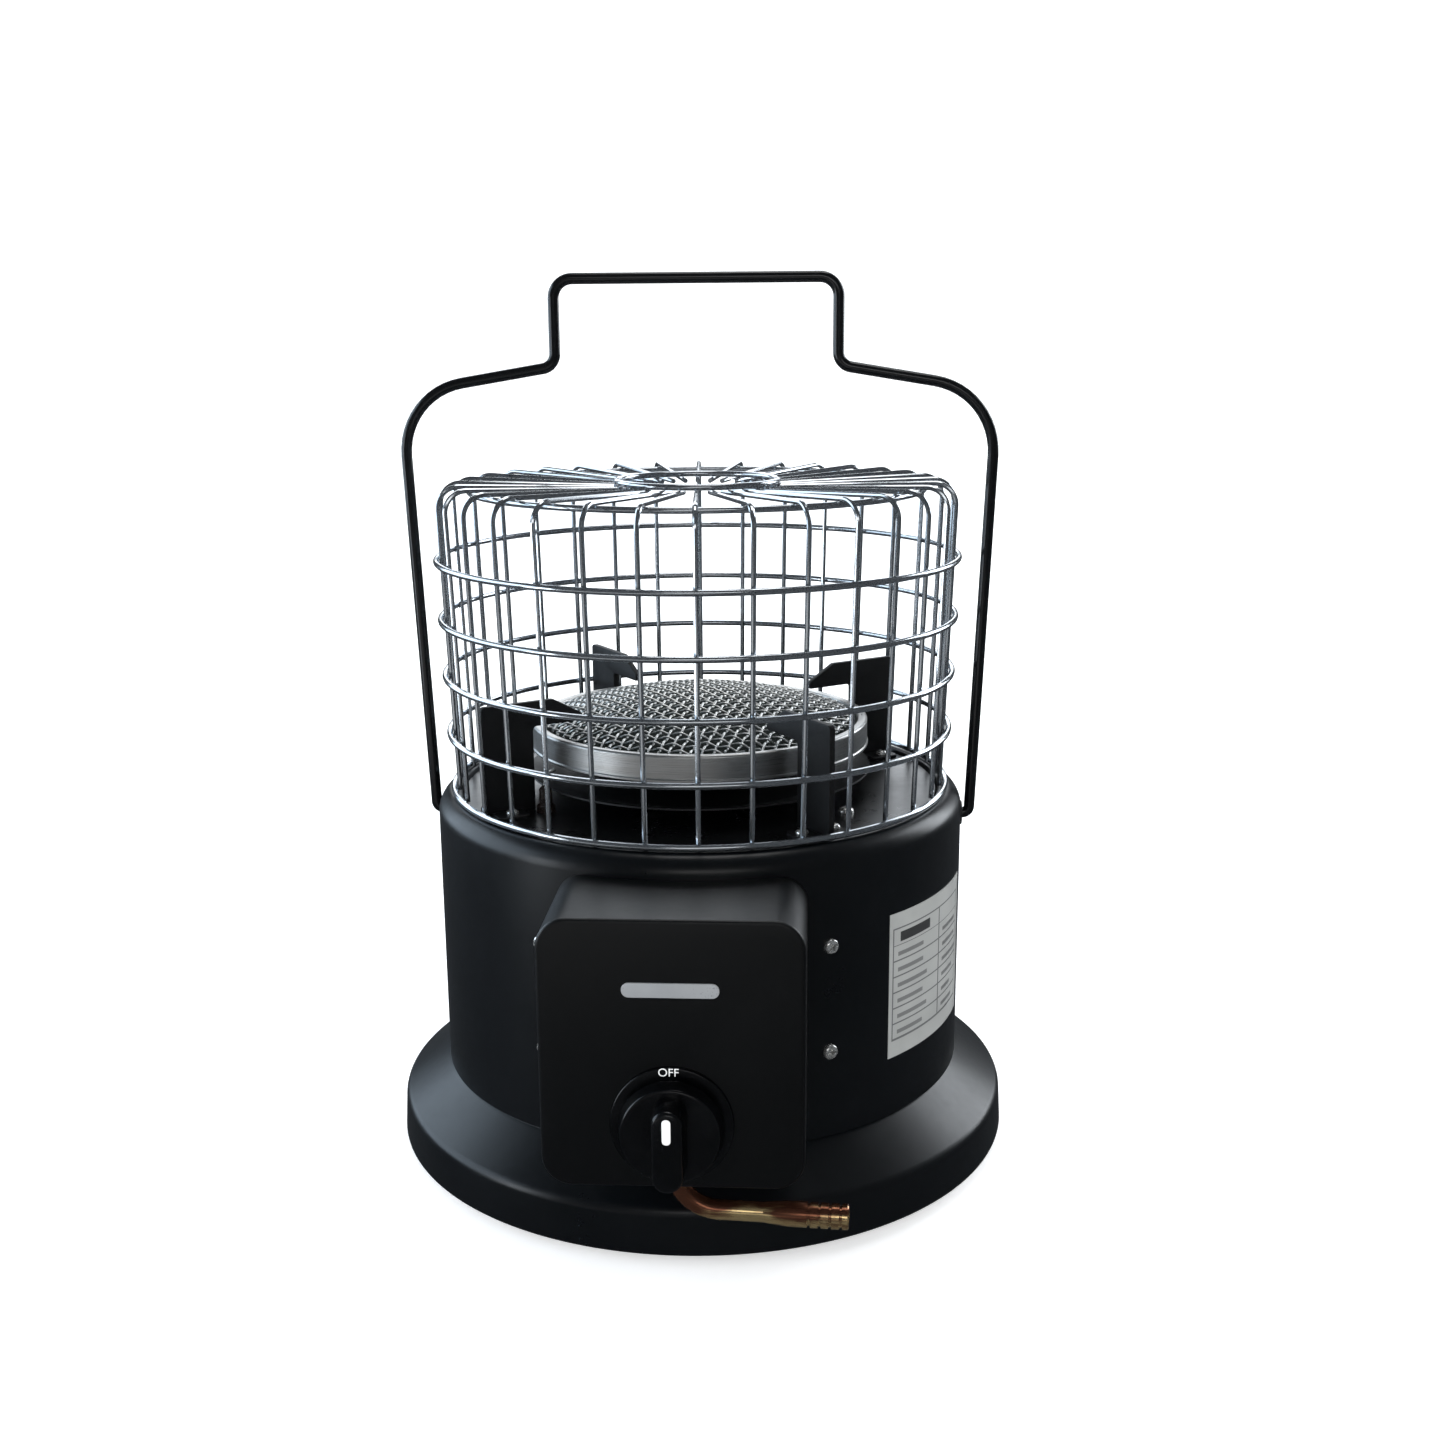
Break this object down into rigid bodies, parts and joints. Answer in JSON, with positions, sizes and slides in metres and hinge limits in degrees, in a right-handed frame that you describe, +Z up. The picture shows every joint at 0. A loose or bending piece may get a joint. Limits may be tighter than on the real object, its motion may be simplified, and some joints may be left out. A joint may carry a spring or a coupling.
{
  "type": "portable gas heater",
  "caption": "Round portable gas heater: black drum on a flared base, domed mesh burner, pot supports, lift-off wire guard, bail handle, side control box with knob and hose nozzle.",
  "frame": {"origin": "on the drum's axis, on the plane of the four feet's soles", "axes": "+Z up along the drum's axis, -Y towards the front (the control box and knob), +X to the right seen from the front"},
  "size_m": [0.3078, 0.3589, 0.4266],
  "materials": {
    "drum_paint": "semi-gloss stoved black enamel",
    "box_paint": "satin black powder coat",
    "heat_black": "matt heat-resistant black",
    "guard_wire": "bright nickel-chrome plating on drawn wire",
    "brushed_steel": "circumferentially brushed stainless band",
    "ceramic": null,
    "mesh_wire": "crimped heat-resistant wire",
    "plated_steel": "zinc-plated pressed steel",
    "screws": "bright zinc-plated, cross recess",
    "brass": "turned brass, lightly tarnished",
    "copper_pipe": "drawn copper pipe",
    "handle_gloss": "gloss black coated wire",
    "bush_nylon": "black nylon",
    "knob_plastic": "fine-textured black thermoset plastic",
    "white_mark": "white filled line",
    "silver_plate": "blank satin aluminium plate",
    "label_foil": "matt silver foil with plain ruled lines",
    "lead_silicone": "silicone-sheathed high-tension lead",
    "foot_rubber": "black moulded rubber"
  },
  "bodies": {
    "base": {"base_plate": "drum_paint", "base_skirt": "drum_paint", "box_screws": "screws", "burner_bowl": "heat_black", "burner_ring": "brushed_steel", "ceramic_plate": "ceramic", "control_box": "box_paint", "data_label": "label_foil", "drum": "drum_paint", "drum_screws": "screws", "electrode_insulator": "ceramic", "foot_1": "foot_rubber", "foot_2": "foot_rubber", "foot_3": "foot_rubber", "foot_4": "foot_rubber", "foot_screws": "screws", "gas_jet": "brass", "gas_pipe": "copper_pipe", "heat_shield": "heat_black", "hose_nozzle": "brass", "ignition_lead": "lead_silicone", "inlet_nut": "brass", "jet_bracket": "plated_steel", "knob_bezel": "knob_plastic", "mesh_dome": "mesh_wire", "mixing_tube": "plated_steel", "nameplate": "silver_plate", "piezo_igniter": "knob_plastic", "pivot_bush_left": "bush_nylon", "pivot_bush_right": "bush_nylon", "plate_screws": "screws", "pot_support_1": "heat_black", "pot_support_2": "heat_black", "pot_support_3": "heat_black", "pot_support_4": "heat_black", "return_spring": "plated_steel", "spark_electrode": "mesh_wire", "support_screws": "screws", "top_plate": "drum_paint", "valve_body": "brass"},
    "handle": {"handle": "handle_gloss", "handle_clips": "plated_steel"},
    "guard": {"guard_ring_1": "guard_wire", "guard_ring_2": "guard_wire", "guard_ring_3": "guard_wire", "guard_ring_4": "guard_wire", "guard_ring_5": "guard_wire", "guard_small_ring": "guard_wire", "guard_under_ring": "guard_wire", "guard_wires": "guard_wire"},
    "plunger": {"valve_plunger": "brass"},
    "knob": {"knob": "knob_plastic", "knob_indicator": "white_mark", "valve_stem": "plated_steel"}
  },
  "joints": [
    {"name": "handle_swing", "type": "hinge", "parent": "base", "child": "handle", "pos_m": [0, 0, 0.164], "axis": [1, 0, 0], "range_deg": [-100, 100]},
    {"name": "guard_lift", "type": "slide", "parent": "base", "child": "guard", "axis": [0, 0, 1], "range_m": [0, 0.038]},
    {"name": "knob_push", "type": "slide", "parent": "base", "child": "plunger", "axis": [0, 1, 0], "range_m": [0, 0.003], "stiffness_N_per_m": 1500, "springref_m": -0.003},
    {"name": "knob_turn", "type": "hinge", "parent": "plunger", "child": "knob", "pos_m": [0, -0.19, 0.0813], "axis": [0, -1, 0], "range_deg": [0, 180]}
  ]
}
